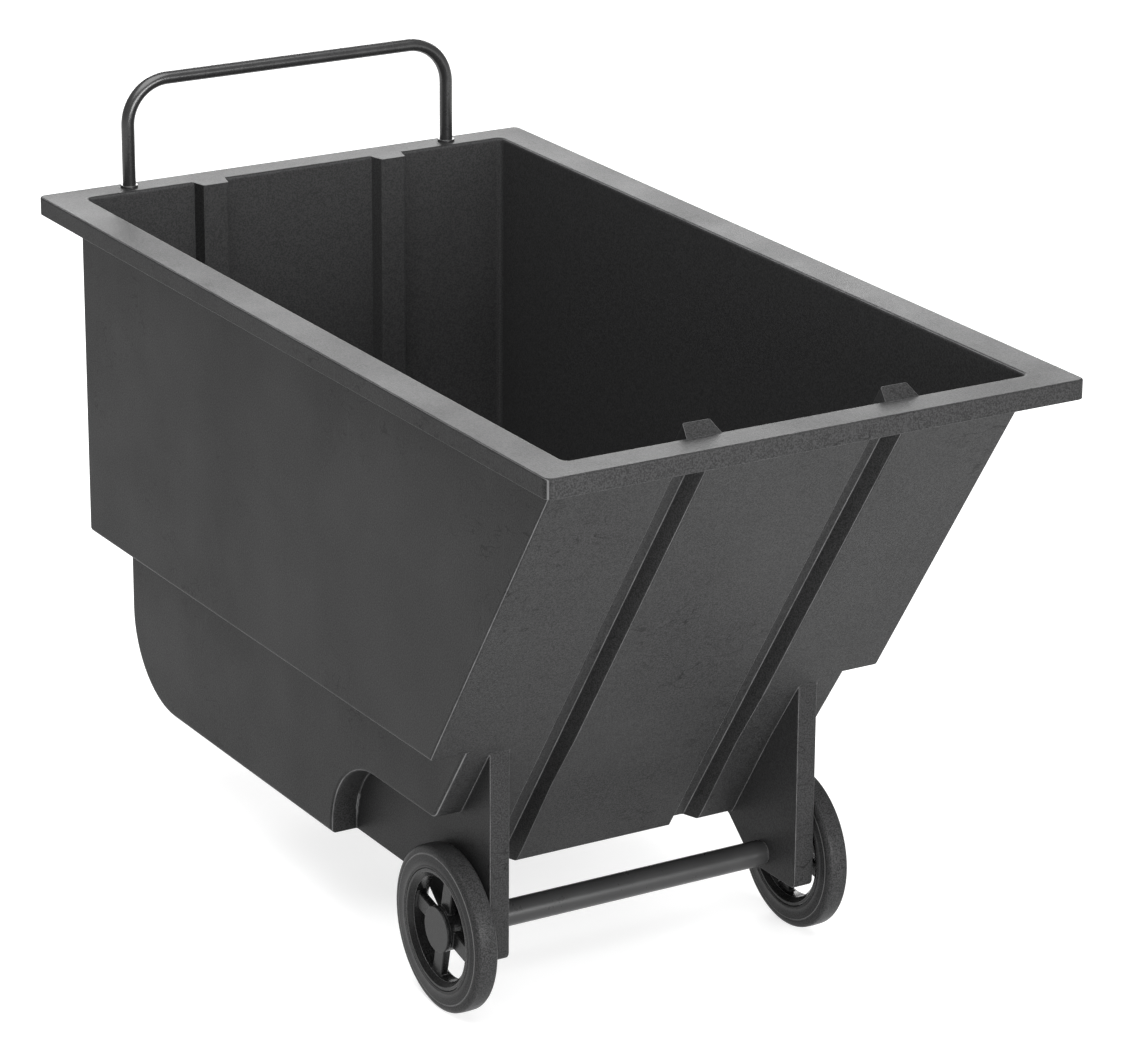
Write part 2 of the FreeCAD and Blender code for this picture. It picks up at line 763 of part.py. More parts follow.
def hub_cap(side):
    """Flat round cap with a hollow plug that fits the hub's pocket."""
    plug = HUB_POCKET_ROD / 2
    plug_foot = HUB_OUT_X - CAP_PLUG_DEPTH
    return revolve_on_axle([
        (CAP_FACE_X, 0), (CAP_FACE_X, CAP_ROD / 2, CAP_EDGE), (HUB_OUT_X, CAP_ROD / 2), (HUB_OUT_X, plug),
        (plug_foot, plug), (plug_foot, plug - CAP_PLUG_WALL),
        (CAP_FACE_X - CAP_SKIN, plug - CAP_PLUG_WALL), (CAP_FACE_X - CAP_SKIN, 0),
    ], side)


def caster_bolt_places():
    return [
        (sx * BOLT_SPACE_X / 2, CASTER_Y + sy * BOLT_SPACE_Y / 2)
        for sx in (-1, 1) for sy in (-1, 1)
    ]


def at_caster_bolts(make):
    return Part.makeCompound([make(x, y) for x, y in caster_bolt_places()])


def on_swivel(z):
    return V(0, CASTER_Y, z)


def caster_plate():
    """Top plate with the upper ball race below it."""
    plate = box(
        -PLATE_X / 2, PLATE_X / 2, CASTER_Y - PLATE_Y / 2, CASTER_Y + PLATE_Y / 2, PLATE_FOOT_Z, BOTTOM_Z,
    )

    def corner(point):
        on_end = abs(abs(point.y - CASTER_Y) - PLATE_Y / 2) < ON_FACE
        return on_end and abs(abs(point.x) - PLATE_X / 2) < ON_FACE

    plate = rounded(plate, PLATE_CORNER, corner)
    race = Part.makeCone(RACE_ROD / 2 - RACE_LEAN, RACE_ROD / 2, PLATE_FOOT_Z - RACE_Z, on_swivel(RACE_Z))
    solid = plate.fuse(race)
    for x, y in caster_bolt_places():
        solid = solid.cut(rod(BOLT_ROD / 2 + RUN_GAP, V(x, y, RACE_Z - PAST), V(x, y, BOTTOM_Z + PAST)))
    return solid.cut(rod(KINGPIN_ROD / 2, on_swivel(RACE_Z - PAST), on_swivel(PLATE_FOOT_Z)))


def caster_bolt(x, y):
    """Hexagon bolt from below, through the plate into the insert."""
    seat = PLATE_FOOT_Z - BOLT_WASHER_THICK
    shank = rod(BOLT_ROD / 2, V(x, y, seat - PAST), V(x, y, BOTTOM_Z + BOLT_REACH))
    return shank.fuse(hexagon(BOLT_HEAD_FLATS, BOLT_HEAD_HEIGHT, V(x, y, seat - BOLT_HEAD_HEIGHT), Z_AXIS))


def caster_washer(x, y):
    top = V(x, y, PLATE_FOOT_Z)
    return pipe(BOLT_WASHER_ROD / 2, BOLT_ROD / 2 + RUN_GAP, top - V(0, 0, BOLT_WASHER_THICK), top)


def caster_insert(x, y):
    """Moulded-in sleeve with a plain bore in place of its thread."""
    return pipe(INSERT_ROD / 2, BOLT_ROD / 2, V(x, y, BOTTOM_Z), V(x, y, BOTTOM_Z + INSERT_LENGTH))


def caster_balls():
    """Ball ring of the swivel."""
    radius = (RACE_Z - CROWN_TOP) / 2 - RUN_GAP
    balls = []
    for i in range(BALL_COUNT):
        turn = 2 * math.pi * i / BALL_COUNT
        out = V(BALL_CIRCLE * math.cos(turn), BALL_CIRCLE * math.sin(turn), 0)
        balls.append(Part.makeSphere(radius, on_swivel((RACE_Z + CROWN_TOP) / 2) + out))
    return Part.makeCompound(balls)


def caster_kingpin():
    """Rivet that holds the fork under the plate."""
    foot = CROWN_TOP - CROWN_THICK - SIDE_GAP
    pin = rod(KINGPIN_ROD / 2, on_swivel(foot - PAST), on_swivel(PLATE_FOOT_Z))
    head = rod(KINGPIN_HEAD_ROD / 2, on_swivel(foot - KINGPIN_HEAD_HEIGHT), on_swivel(foot))
    return pin.fuse(head)


def caster_fork():
    """Crown disc and two arms that lean back to the trailing axle."""
    crown_foot = CROWN_TOP - CROWN_THICK
    front_y = CASTER_Y - FORK_FRONT
    axle_y = CASTER_Y + CASTER_TRAIL
    toe_z = CASTER_RADIUS - FORK_TOE
    crown = rod(RACE_ROD / 2, on_swivel(crown_foot), on_swivel(CROWN_TOP))
    bridge = box(-FORK_OUT_HALF, FORK_OUT_HALF, front_y, CASTER_Y + FORK_BACK, crown_foot, CROWN_TOP)
    arm_corners = [
        (front_y, CROWN_TOP),
        (axle_y - FORK_TOE, toe_z, FORK_TOE_RADIUS),
        (axle_y + FORK_TOE, toe_z, FORK_TOE_RADIUS),
        (CASTER_Y + FORK_BACK + FORK_BACK_LEAN, CROWN_TOP, FORK_BACK_RADIUS),
    ]
    arms = [
        side_prism(outline(arm_corners), start, start + FORK_THICK)
        for start in (-FORK_OUT_HALF, FORK_IN_HALF)
    ]
    fork = crown.multiFuse([bridge] + arms).removeSplitter()
    pin_hole = rod(KINGPIN_ROD / 2 + RUN_GAP, on_swivel(crown_foot - PAST), on_swivel(CROWN_TOP + PAST))
    bolt_hole = rod(FORK_BOLT_ROD / 2, caster_axle(-FAR_PAST), caster_axle(FAR_PAST))
    return fork.cut(pin_hole).cut(bolt_hole)


def caster_axle(x):
    return V(x, CASTER_Y + CASTER_TRAIL, CASTER_RADIUS)


def caster_axle_bolt():
    tail = caster_axle(FORK_OUT_HALF + FORK_BOLT_TAIL)
    shank = rod(FORK_BOLT_ROD / 2, caster_axle(-FORK_OUT_HALF - PAST), tail)
    head_base = caster_axle(-FORK_OUT_HALF - FORK_BOLT_HEAD)
    return shank.fuse(hexagon(FORK_BOLT_FLATS, FORK_BOLT_HEAD, head_base, X_AXIS))


def caster_axle_nut():
    near = caster_axle(FORK_OUT_HALF)
    far = caster_axle(FORK_OUT_HALF + FORK_NUT_HEIGHT)
    return hexagon(FORK_BOLT_FLATS, FORK_NUT_HEIGHT, near, X_AXIS).cut(rod(FORK_BOLT_ROD / 2, near, far))


def caster_sleeve():
    return pipe(SLEEVE_ROD / 2, FORK_BOLT_ROD / 2, caster_axle(-FORK_IN_HALF), caster_axle(FORK_IN_HALF))


def caster_wheel_core():
    """Plastic wheel centre with a long hub, a thin web and a ring."""
    ring_half = CASTER_WHEEL_WIDTH / 2 - CASTER_RING_INSET
    hub_half = FORK_IN_HALF - CASTER_HUB_GAP
    web_half = CASTER_WEB_THICK / 2
    ring_in = CASTER_CORE_ROD / 2 - CASTER_RING_THICK
    ring = pipe(CASTER_CORE_ROD / 2, ring_in, caster_axle(-ring_half), caster_axle(ring_half))
    web = rod(ring_in + PAST, caster_axle(-web_half), caster_axle(web_half))
    hub = rod(CASTER_HUB_ROD / 2, caster_axle(-hub_half), caster_axle(hub_half))
    core = ring.multiFuse([web, hub]).removeSplitter()
    return core.cut(rod(SLEEVE_ROD / 2 + RUN_GAP, caster_axle(-FAR_PAST), caster_axle(FAR_PAST)))


def caster_tyre():
    half = CASTER_WHEEL_WIDTH / 2
    band = rod(CASTER_RADIUS, caster_axle(-half), caster_axle(half))
    band = rounded(band, CASTER_TYRE_EDGE, lambda p: abs(abs(p.x) - half) < ON_FACE)
    return band.cut(rod(CASTER_CORE_ROD / 2, caster_axle(-half - PAST), caster_axle(half + PAST)))


def all_nodes():
    nodes = {
        "tub": tub(),
        "handle_bar": handle_bar(),
        "handle_collars": at_handle_feet(handle_collar),
        "handle_washers": at_handle_feet(handle_washer),
        "handle_nuts": at_handle_feet(handle_nut),
        "axle_tube": axle_tube(),
        "axle_rod": axle_rod(),
        "axle_inner_washers": rings_on_axle(INNER_WASHER_ROD, RUN_GAP, WELL_HALF, HUB_IN_X - SIDE_GAP),
        "axle_outer_washers": rings_on_axle(OUTER_WASHER_ROD, RUN_GAP, HUB_SEAT_X + SIDE_GAP, OUTER_WASHER_X),
        "axle_push_nuts": rings_on_axle(PUSH_NUT_ROD, 0.0, OUTER_WASHER_X, PUSH_NUT_X),
        "caster_plate": caster_plate(),
        "caster_bolts": at_caster_bolts(caster_bolt),
        "caster_washers": at_caster_bolts(caster_washer),
        "caster_inserts": at_caster_bolts(caster_insert),
        "caster_balls": caster_balls(),
        "caster_kingpin": caster_kingpin(),
        "caster_fork": caster_fork(),
        "caster_axle_bolt": caster_axle_bolt(),
        "caster_axle_nut": caster_axle_nut(),
        "caster_sleeve": caster_sleeve(),
        "caster_wheel_core": caster_wheel_core(),
        "caster_tyre": caster_tyre(),
    }
    for name, side in (("left", -1), ("right", 1)):
        nodes["axle_bush_" + name] = axle_bush(side)
        nodes[name + "_wheel_rim"] = wheel_rim(side)
        nodes[name + "_tyre"] = tyre(side)
        nodes[name + "_wheel_bush"] = wheel_bush(side)
        nodes[name + "_hub_cap"] = hub_cap(side)
    return nodes


os.makedirs("parts", exist_ok=True)
for name, shape in all_nodes().items():
    shape.exportStep("parts/" + name + ".step")
    print(name, len(shape.Solids), round(shape.Volume / 1000, 1), shape.isValid())
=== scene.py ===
"""Looks of the wheeled hopper cart: materials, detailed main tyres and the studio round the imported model."""

import json
import math

import bpy
from mathutils import Matrix, Vector


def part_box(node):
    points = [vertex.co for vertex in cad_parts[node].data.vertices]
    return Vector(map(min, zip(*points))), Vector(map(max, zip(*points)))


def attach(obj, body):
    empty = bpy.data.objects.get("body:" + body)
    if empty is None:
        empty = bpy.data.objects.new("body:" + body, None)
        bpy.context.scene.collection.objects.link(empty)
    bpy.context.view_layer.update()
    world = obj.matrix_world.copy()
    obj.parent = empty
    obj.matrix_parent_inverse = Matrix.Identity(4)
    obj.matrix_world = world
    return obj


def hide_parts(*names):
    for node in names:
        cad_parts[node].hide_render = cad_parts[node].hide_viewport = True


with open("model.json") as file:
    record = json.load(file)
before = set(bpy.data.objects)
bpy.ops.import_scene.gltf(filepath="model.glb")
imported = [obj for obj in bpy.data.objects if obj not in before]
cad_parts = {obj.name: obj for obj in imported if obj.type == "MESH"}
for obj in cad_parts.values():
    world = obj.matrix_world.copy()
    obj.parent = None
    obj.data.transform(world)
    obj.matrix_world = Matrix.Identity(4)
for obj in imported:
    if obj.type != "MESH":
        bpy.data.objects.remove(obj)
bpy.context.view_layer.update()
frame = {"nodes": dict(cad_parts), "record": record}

# Camera: angles in degrees, distances in metres, the lens and the sensor in millimetres.
CAMERA_AZIMUTH = -30.79
CAMERA_ELEVATION = 19.64
CAMERA_ROLL = 0.35
CAMERA_LENS = 150.5
CAMERA_SENSOR = 36.0
CAMERA_DISTANCE = 5.805
CAMERA_CLIP_END = 500.0
AIM_BELOW_RIM = 0.3236
AIM_RIGHT = 0.0412
AIM_UP = 0.0075

# Studio: a dim white sky and a pale matt floor that glows, half its width in metres.
WHITE = (1.0, 1.0, 1.0, 1.0)
WORLD_LIGHT = 0.3
FLOOR_HALF = 200.0
FLOOR_COLOUR = (0.45, 0.45, 0.45, 1.0)
FLOOR_ROUGHNESS = 0.9
FLOOR_GLOSS = 0.1
FLOOR_GLOW = 0.72

# Three wide soft lights: name, place, target, width and height in metres, power in watts.
LIGHTS = (
    ("overhead", (-0.8, -1.0, 5.0), (0.0, 0.2, 0.4), (5.0, 5.0), 480.0),
    ("behind", (2.6, 4.4, 2.6), (0.0, 0.0, 0.8), (4.5, 2.2), 222.0),
    ("front", (0.2, -4.5, 0.9), (0.0, -0.3, 0.4), (3.0, 1.6), 310.0),
)

# Noise levels lie round 0.5, most of them between these two.
NOISE_LOW = 0.3
NOISE_HIGH = 0.7
NOISE_ROUGHNESS = 0.6

# Blue of every grey against its red and green.
GREY_BLUE = 1.015

# Middle of the cart, which its inside faces look towards. The distance from there to a face, along the
# face's own normal, is below the first limit for an inside face and above the second for any other. Metres.
CART_MIDDLE = (0.0, 0.15, 0.6)
INSIDE_BELOW = -0.19
OUTSIDE_ABOVE = -0.17

# A scratch follows the noise's middle level: it has its share of the colour up to the first distance from
# that level and none past the second. The noise that breaks it up is finer by the last factor.
MIDDLE_LEVEL = 0.5
SCRATCH_FULL = 0.004
SCRATCH_NONE = 0.014
SCRATCH_SHARE = 0.65
SCRATCH_BREAKS = 2.3

# Edge radii that the shading rounds, in metres.
BEVEL_SAMPLES = 6
TUB_EDGE = 0.0011
MOULDED_EDGE = 0.0009
ZINC_EDGE = 0.0004

# The painted highlight line along a rounded edge of the tub's side: how far the square of the normal's X may
# be from a half for the full line, and for none.
SIDE_NORMAL = (1.0, 0.0, 0.0)
EDGE_MIDDLE = 0.5
EDGE_LINE_FULL = 0.06
EDGE_LINE_NONE = 0.17

# Tub: its grey level and specular level, then the levels of its tones and marks as multiples of the grey.
TUB_LEVEL = 0.017
TUB_GLOSS = 0.08
TUB_SLOW_DARK = 0.93
TUB_SLOW_PALE = 1.07
# Paler inside: painted light, a brighter grey on the faces that look into the tub.
TUB_INSIDE_PAINTED_LIGHT = 2.2
TUB_SPECK_PALE = 2.6
TUB_SPECK_SHARE = 0.36
TUB_DRAG = 2.2
TUB_CROSSING_SCRATCH = 0.1
TUB_UPRIGHT_SCRATCH = 1.6
TUB_NICK = 0.3
# Pale edges: painted highlight along the rounded edges, with some wear.
TUB_EDGE_HIGHLIGHT_AND_WEAR = 7.0

# How much of the tub's wear its inside keeps, and how much of the pale edge lines, which are painted highlight
# and wear.
INSIDE_WEAR = 0.15
INSIDE_EDGE_LINES = 0.1

# Coated steel and moulded plastic: levels as multiples of the piece's own colour.
COAT_DARK = 0.9
COAT_PALE = 1.12
MOULDED_DARK = 0.7
MOULDED_PALE = 0.95
MOULDED_SPECK = 2.3
MOULDED_SPECK_SHARE = 0.85
# Share of white on moulded edges: painted highlight, with some wear.
MOULDED_EDGE_HIGHLIGHT_AND_WEAR_SHARE = 0.14

# Zinc: grey levels.
ZINC_DARK = 0.42
ZINC_PALE = 0.6

# Main tyres, in metres; the seat is a share of the outer radius.
TYRE_SEGMENTS = 160
CORNER_STEPS = 10
SEAT_SHARE = 0.7275
BEAD_RISE = 0.0007
SHOULDER_RADIUS = 0.0097
SHOULDER_WIDTH = 0.0058
STEP_DEPTH = 0.0006
CROWN = 0.0004


# ---------------------------------------------------------------- studio

def rim_top():
    """Height of the rim's top face, where the handle collars stand."""
    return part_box("handle_collars")[0].z


def make_camera():
    azimuth = math.radians(CAMERA_AZIMUTH)
    elevation = math.radians(CAMERA_ELEVATION)
    back = Vector((
        math.sin(azimuth) * math.cos(elevation),
        -math.cos(azimuth) * math.cos(elevation),
        math.sin(elevation),
    ))
    right = Vector((math.cos(azimuth), math.sin(azimuth), 0.0))
    up = back.cross(right)
    turn = Matrix.Rotation(math.radians(CAMERA_ROLL), 3, back)
    right = turn @ right
    up = turn @ up
    aim = Vector((0.0, 0.0, rim_top() - AIM_BELOW_RIM)) + right * AIM_RIGHT + up * AIM_UP
    data = bpy.data.cameras.new("camera")
    data.lens = CAMERA_LENS
    data.sensor_width = CAMERA_SENSOR
    data.clip_end = CAMERA_CLIP_END
    camera = bpy.data.objects.new("camera", data)
    axes = Matrix((right, up, back)).transposed().to_4x4()
    camera.matrix_world = Matrix.Translation(aim + back * CAMERA_DISTANCE) @ axes
    bpy.context.scene.collection.objects.link(camera)
    bpy.context.scene.camera = camera


def area_light(name, place, target, size, power):
    data = bpy.data.lights.new(name, "AREA")
    data.shape = "RECTANGLE"
    data.size = size[0]
    data.size_y = size[1]
    data.energy = power
    light = bpy.data.objects.new(name, data)
    light.location = place
    light.rotation_euler = (Vector(place) - Vector(target)).to_track_quat("Z", "Y").to_euler()
    bpy.context.scene.collection.objects.link(light)


def make_sky():
    world = bpy.data.worlds.new("studio")
    world.use_nodes = True
    background = world.node_tree.nodes["Background"]
    background.inputs["Color"].default_value = WHITE
    background.inputs["Strength"].default_value = WORLD_LIGHT
    bpy.context.scene.world = world
    bpy.context.scene.view_settings.view_transform = "Standard"


def make_floor():
    mesh = bpy.data.meshes.new("floor")
    low = -FLOOR_HALF
    high = FLOOR_HALF
    corners = [(low, low, 0.0), (high, low, 0.0), (high, high, 0.0), (low, high, 0.0)]
    mesh.from_pydata(corners, [], [(0, 1, 2, 3)])
    floor = bpy.data.objects.new("floor", mesh)
    bpy.context.scene.collection.objects.link(floor)
    material = bpy.data.materials.new("floor")
    material.use_nodes = True
    shader = material.node_tree.nodes["Principled BSDF"]
    shader.inputs["Base Color"].default_value = FLOOR_COLOUR
    shader.inputs["Roughness"].default_value = FLOOR_ROUGHNESS
    shader.inputs["Specular IOR Level"].default_value = FLOOR_GLOSS
    shader.inputs["Emission Color"].default_value = WHITE
    shader.inputs["Emission Strength"].default_value = FLOOR_GLOW
    mesh.materials.append(material)


# ---------------------------------------------------------------- material nodes

def feed(tree, target, value):
    """Links the value to the target input if it is another node's output, or else sets it there."""
    if isinstance(value, bpy.types.NodeSocket):
        tree.links.new(value, target)
    else:
        target.default_value = value


def add(tree, kind, values=None, **settings):
    """A new node; values feed its inputs, settings are its properties."""
    node = tree.nodes.new(kind)
    for key, value in settings.items():
        setattr(node, key, value)
    for key, value in (values or {}).items():
        feed(tree, node.inputs[key], value)
    return node


def math_node(tree, operation, *values):
    node = add(tree, "ShaderNodeMath", operation=operation)
    for socket, value in zip(node.inputs, values):
        feed(tree, socket, value)
    return node.outputs["Value"]


def times(tree, first, second):
    return math_node(tree, "MULTIPLY", first, second)


def away_from(tree, value, middle):
    """Distance of the value from middle, on either side of it."""
    return math_node(tree, "ABSOLUTE", math_node(tree, "SUBTRACT", value, middle))


def dot(tree, first, second):
    node = add(tree, "ShaderNodeVectorMath", operation="DOT_PRODUCT")
    feed(tree, node.inputs[0], first)
    feed(tree, node.inputs[1], second)
    return node.outputs["Value"]


def noise(tree, where, scale, detail=3.0, squeeze=(1.0, 1.0, 1.0)):
    """Noise over the object, its scale in cells per metre, multiplied by squeeze along each axis."""
    mapped = add(tree, "ShaderNodeMapping", {"Vector": where, "Scale": squeeze})
    pattern = add(tree, "ShaderNodeTexNoise", {
        "Vector": mapped.outputs["Vector"], "Scale": scale, "Detail": detail, "Roughness": NOISE_ROUGHNESS,
    })
    return pattern.outputs["Fac"]


def ramp(tree, value, low, high, start, end):
    """Maps value from low..high to start..end, held at both ends."""
    node = add(tree, "ShaderNodeMapRange", {
        "Value": value, "From Min": low, "From Max": high, "To Min": start, "To Max": end,
    })
    return node.outputs["Result"]


def rising(tree, value, low, high, full=1.0):
    """0 up to low, full from high on."""
    return ramp(tree, value, low, high, 0.0, full)


def falling(tree, value, low, high, full=1.0):
    """Full up to low, 0 from high on."""
    return ramp(tree, value, low, high, full, 0.0)


def spread(tree, pattern, start=0.0, end=1.0):
    """Maps the usual levels of a noise to start..end."""
    return ramp(tree, pattern, NOISE_LOW, NOISE_HIGH, start, end)


def mixed(tree, share, first, second):
    """Colour between first and second."""
    node = add(tree, "ShaderNodeMix", data_type="RGBA")
    for name, value in (("Factor", share), ("A", first), ("B", second)):
        feed(tree, [s for s in node.inputs if s.name == name and s.enabled][0], value)
    return [s for s in node.outputs if s.enabled][0]


def inside_share(tree, where):
    """1 on the faces that look in towards the middle of the cart, 0 on its outside and in its grooves."""
    facing = add(tree, "ShaderNodeTexCoord").outputs["Normal"]
    from_middle = add(tree, "ShaderNodeVectorMath", {0: where, 1: CART_MIDDLE}, operation="SUBTRACT")
    outward = dot(tree, from_middle.outputs["Vector"], facing)
    return falling(tree, outward, INSIDE_BELOW, OUTSIDE_ABOVE)


def less_inside(tree, inside, kept):
    """1 on the outside, and the kept share on the inside faces."""
    return ramp(tree, inside, 0.0, 1.0, 1.0, kept)


def scratches(tree, where, scale, squeeze):
    """Thin broken lines along the middle level of a noise."""
    level = noise(tree, where, scale, detail=2.0, squeeze=squeeze)
    line = falling(tree, away_from(tree, level, MIDDLE_LEVEL), SCRATCH_FULL, SCRATCH_NONE, SCRATCH_SHARE)
    breaks = noise(tree, where, scale * SCRATCH_BREAKS, detail=2.0)
    return times(tree, line, rising(tree, breaks, 0.45, 0.55))


def bump(tree, height, strength, distance, under=None):
    node = add(tree, "ShaderNodeBump", {"Height": height, "Strength": strength, "Distance": distance})
    if under is not None:
        tree.links.new(under, node.inputs["Normal"])
    return node.outputs["Normal"]


def soft_edges(tree, radius):
    """Normal that turns round every edge, as the small radius of a moulded or pressed edge does."""
    return add(tree, "ShaderNodeBevel", {"Radius": radius}, samples=BEVEL_SAMPLES).outputs["Normal"]


def edge_share(tree, rounded, edge_below, flat_above):
    """1 on an edge and 0 on the open surface, by the cosine between the rounded normal and the true one."""
    true_normal = add(tree, "ShaderNodeNewGeometry").outputs["True Normal"]
    return falling(tree, dot(tree, rounded, true_normal), edge_below, flat_above)


def side_edge_painted_highlight(tree, rounded):
    """1 along the middle of every rounded edge between a side face and a face square to it, for a painted
    highlight line.

    The square of the normal's X is 1 on the side face, 0 on the other and a half in the middle of the edge.
    """
    side = dot(tree, rounded, SIDE_NORMAL)
    away = away_from(tree, times(tree, side, side), EDGE_MIDDLE)
    return falling(tree, away, EDGE_LINE_FULL, EDGE_LINE_NONE)


def new_material(name):
    material = bpy.data.materials.new(name)
    material.use_nodes = True
    tree = material.node_tree
    where = add(tree, "ShaderNodeTexCoord").outputs["Object"]
    return material, tree, tree.nodes["Principled BSDF"], where


def grey(level):
    return (level, level, level * GREY_BLUE, 1.0)


def scaled(colour, share):
    return tuple(c * share for c in colour[:3]) + (1.0,)


def plug(tree, shader, name, value):
    tree.links.new(value, shader.inputs[name])


# ---------------------------------------------------------------- materials

def tub_tones(tree, where, inside):
    """Colour of the tub's open surface: slow tone changes, a paler inside that is painted light, grain, drag
    marks, scratches and nicks.
    """
    slow = spread(tree, noise(tree, where, scale=2.6, detail=4.0))
    tone = mixed(tree, slow, grey(TUB_LEVEL * TUB_SLOW_DARK), grey(TUB_LEVEL * TUB_SLOW_PALE))
    # Painted light: the inside faces get a paler grey than the outside.
    tone = mixed(tree, inside, tone, grey(TUB_LEVEL * TUB_INSIDE_PAINTED_LIGHT))

    speck = rising(tree, noise(tree, where, scale=540.0, detail=1.0), 0.36, 0.64)
    dark = mixed(tree, TUB_SPECK_SHARE, tone, grey(0.0))
    pale = mixed(tree, TUB_SPECK_SHARE, tone, grey(TUB_LEVEL * TUB_SPECK_PALE))
    tone = mixed(tree, speck, dark, pale)

    rubbed = rising(tree, noise(tree, where, scale=3.7, detail=2.0), 0.46, 0.6)
    rubbed = times(tree, rubbed, less_inside(tree, inside, INSIDE_WEAR))
    drag = noise(tree, where, scale=24.0, detail=5.0, squeeze=(9.0, 9.0, 0.7))
    nicks = noise(tree, where, scale=95.0, detail=2.0, squeeze=(1.0, 1.0, 0.35))
    marks = (
        (rising(tree, drag, 0.62, 0.74, full=0.3), TUB_DRAG),
        (scratches(tree, where, scale=17.0, squeeze=(1.0, 1.0, 2.4)), TUB_CROSSING_SCRATCH),
        (scratches(tree, where, scale=23.0, squeeze=(2.6, 2.6, 0.3)), TUB_UPRIGHT_SCRATCH),
        (rising(tree, nicks, 0.76, 0.8, full=0.7), TUB_NICK),
    )
    for mark, level in marks:
        tone = mixed(tree, times(tree, mark, rubbed), tone, grey(TUB_LEVEL * level))
    return tone


def tub_plastic():
    """Charcoal polyethylene: pale edges painted as highlights and wear, a paler inside painted as light, and a
    grain on slight waves.
    """
    material, tree, shader, where = new_material("tub_plastic")
    inside = inside_share(tree, where)
    rounded = soft_edges(tree, TUB_EDGE)
    edge = edge_share(tree, rounded, edge_below=0.94, flat_above=0.995)
    # Painted highlight: a line along the rounded edges of the tub's side joins the edge mask.
    edge = math_node(tree, "MAXIMUM", edge, side_edge_painted_highlight(tree, rounded))
    patchy = ramp(tree, noise(tree, where, scale=30.0), 0.35, 0.6, 0.5, 1.0)
    patchy = times(tree, patchy, less_inside(tree, inside, INSIDE_EDGE_LINES))
    # Painted highlight and wear: pale lines along the edges, broken up in patches.
    edge_highlight_and_wear = times(tree, edge, patchy)
    tone = mixed(tree, edge_highlight_and_wear, tub_tones(tree, where, inside), grey(TUB_LEVEL * TUB_EDGE_HIGHLIGHT_AND_WEAR))
    plug(tree, shader, "Base Color", tone)
    plug(tree, shader, "Roughness", spread(tree, noise(tree, where, scale=7.0, detail=4.0), 0.42, 0.5))
    shader.inputs["Specular IOR Level"].default_value = TUB_GLOSS
    grain = noise(tree, where, scale=500.0, detail=2.0)
    waves = noise(tree, where, scale=11.0, detail=1.0)
    normal = bump(tree, grain, strength=0.4, distance=0.0005, under=rounded)
    plug(tree, shader, "Normal", bump(tree, waves, strength=0.12, distance=0.002, under=normal))
    return material


def steel_coat(name, level, rough, gloss):
    """Sprayed coat on steel: slow tone changes, duller spots and a light orange peel."""
    material, tree, shader, where = new_material(name)
    slow = spread(tree, noise(tree, where, scale=12.0))
    plug(tree, shader, "Base Color", mixed(tree, slow, grey(level * COAT_DARK), grey(level * COAT_PALE)))
    plug(tree, shader, "Roughness", spread(tree, noise(tree, where, scale=55.0, detail=4.0), *rough))
    shader.inputs["Specular IOR Level"].default_value = gloss
    peel = noise(tree, where, scale=300.0, detail=2.0)
    plug(tree, shader, "Normal", bump(tree, peel, strength=0.05, distance=0.0002))
    return material


def moulded(name, colour, rough, grain, gloss=0.1):
    """Moulded plastic or rubber: tone changes, pale edges painted as highlights and wear, and a grain of its
    own in cells per metre.
    """
    material, tree, shader, where = new_material(name)
    slow = spread(tree, noise(tree, where, scale=18.0, detail=4.0))
    tone = mixed(tree, slow, scaled(colour, MOULDED_DARK), scaled(colour, MOULDED_PALE))
    speck = noise(tree, where, scale=grain, detail=1.0)
    speck = rising(tree, speck, 0.38, 0.62, full=MOULDED_SPECK_SHARE)
    tone = mixed(tree, speck, tone, scaled(colour, MOULDED_SPECK))
    rounded = soft_edges(tree, MOULDED_EDGE)
    # Painted highlight and wear: the edges are mixed towards white.
    edge_highlight_and_wear = mixed(tree, MOULDED_EDGE_HIGHLIGHT_AND_WEAR_SHARE, tone, WHITE)
    tone = mixed(tree, edge_share(tree, rounded, edge_below=0.93, flat_above=0.985), tone, edge_highlight_and_wear)
    plug(tree, shader, "Base Color", tone)
    plug(tree, shader, "Roughness", spread(tree, noise(tree, where, scale=40.0, detail=4.0), *rough))
    shader.inputs["Specular IOR Level"].default_value = gloss
    pits = noise(tree, where, scale=grain, detail=2.0)
    plug(tree, shader, "Normal", bump(tree, pits, strength=0.45, distance=0.0005, under=rounded))
    return material


def zinc():
    """Zinc plated steel: pale metal with cloudy patches and fine rubbing."""
    material, tree, shader, where = new_material("zinc")
    cloud = spread(tree, noise(tree, where, scale=120.0, detail=4.0))
    plug(tree, shader, "Base Color", mixed(tree, cloud, grey(ZINC_DARK), grey(ZINC_PALE)))
    shader.inputs["Metallic"].default_value = 1.0
    plug(tree, shader, "Roughness", spread(tree, noise(tree, where, scale=260.0, detail=4.0), 0.28, 0.45))
    rubbing = noise(tree, where, scale=700.0, detail=2.0)
    rounded = soft_edges(tree, ZINC_EDGE)
    plug(tree, shader, "Normal", bump(tree, rubbing, strength=0.2, distance=0.0002, under=rounded))
    return material


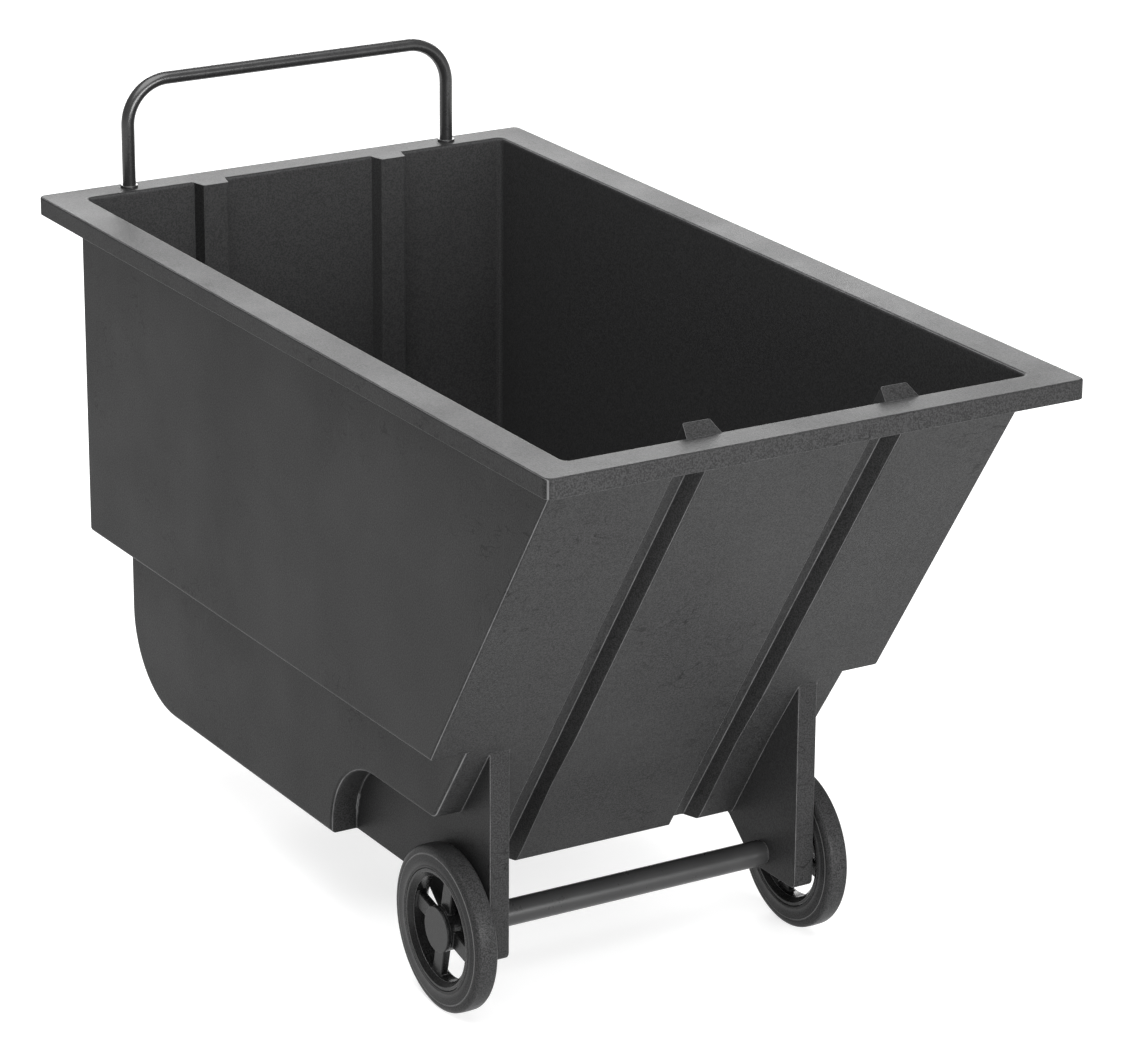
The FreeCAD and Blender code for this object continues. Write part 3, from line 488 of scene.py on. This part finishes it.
def all_materials():
    return {
        "tub_plastic": tub_plastic(),
        "handle_steel": steel_coat("handle_steel", 0.018, rough=(0.22, 0.32), gloss=0.5),
        "tube_steel": steel_coat("tube_steel", 0.022, rough=(0.26, 0.36), gloss=0.3),
        "wheel_plastic": moulded("wheel_plastic", grey(0.006), rough=(0.16, 0.28), grain=560.0, gloss=0.17),
        "tyre": moulded("tyre", grey(0.0165), rough=(0.26, 0.38), grain=620.0, gloss=0.05),
        "core_plastic": moulded("core_plastic", grey(0.09), rough=(0.4, 0.55), grain=500.0),
        "caster_tread": moulded("caster_tread", grey(0.035), rough=(0.5, 0.65), grain=700.0),
        "nylon": moulded("nylon", (0.6, 0.59, 0.55, 1.0), rough=(0.35, 0.45), grain=500.0),
        "nylon_black": moulded("nylon_black", grey(0.03), rough=(0.35, 0.45), grain=500.0),
        "zinc": zinc(),
    }


def dress_cad_nodes(materials):
    """Gives each CAD node the material of its slot."""
    for part in frame["record"]["subparts"]:
        piece = frame["nodes"][part["node"]]
        piece.data.materials.clear()
        piece.data.materials.append(materials[part["material_slot"]])


# ---------------------------------------------------------------- tyres

def round_corner(x, r, width, height, steps):
    """Quarter ellipse from the side face (at x) to the tread (at r)."""
    points = []
    for i in range(steps + 1):
        turn = math.pi / 2 * i / steps
        points.append((x - width + width * math.cos(turn), r - height + height * math.sin(turn)))
    return points


def tyre_section(half, outer, seat):
    """Right half of the tyre's outline, from the seat up to the middle of the tread."""
    face = half - BEAD_RISE
    step_r = outer - SHOULDER_RADIUS
    tread = outer - CROWN
    bead = [
        (half - 0.0020, seat), (half - 0.0006, seat + 0.0006), (half, seat + 0.0016), (half, seat + 0.0026),
        (half - 0.0003, seat + 0.0034), (face, seat + 0.0042),
    ]
    shoulder_step = [
        (face, step_r - 0.0022), (face - 0.0001, step_r - 0.0017), (face - STEP_DEPTH, step_r - 0.0012),
        (face - STEP_DEPTH, step_r - 0.0008), (face - 0.0001, step_r - 0.0003),
    ]
    shoulder = round_corner(face, tread, SHOULDER_WIDTH, SHOULDER_RADIUS - CROWN, CORNER_STEPS)
    crown = [(half * 0.25, outer - CROWN * 0.25), (0.0, outer)]
    return bead + shoulder_step + shoulder + crown


def lathe(name, section, centre, segments):
    """Ring turned about the X axis through centre, from a closed outline of (x, radius) points."""
    vertices = []
    for i in range(segments):
        turn = 2 * math.pi * i / segments
        for x, r in section:
            vertices.append((centre.x + x, centre.y + r * math.cos(turn), centre.z + r * math.sin(turn)))
    count = len(section)
    faces = []
    for i in range(segments):
        here = i * count
        there = ((i + 1) % segments) * count
        for j in range(count):
            k = (j + 1) % count
            faces.append((here + j, here + k, there + k, there + j))
    mesh = bpy.data.meshes.new(name)
    mesh.from_pydata(vertices, [], faces)
    mesh.validate()
    for polygon in mesh.polygons:
        polygon.use_smooth = True
    piece = bpy.data.objects.new(name, mesh)
    bpy.context.scene.collection.objects.link(piece)
    return piece


def make_tyre(side, materials):
    node = side + "_tyre"
    low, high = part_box(node)
    centre = (low + high) / 2
    outer = (high.z - low.z) / 2
    right = tyre_section((high.x - low.x) / 2, outer, outer * SEAT_SHARE)
    left = [(-x, r) for x, r in reversed(right[:-1])]
    piece = lathe(node + "_visual", right + left, centre, TYRE_SEGMENTS)
    piece.data.materials.append(materials["tyre"])
    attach(piece, side + "_wheel")
    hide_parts(node)


make_camera()
make_sky()
for light_values in LIGHTS:
    area_light(*light_values)
make_floor()
looks = all_materials()
dress_cad_nodes(looks)
for wheel_side in ("left", "right"):
    make_tyre(wheel_side, looks)
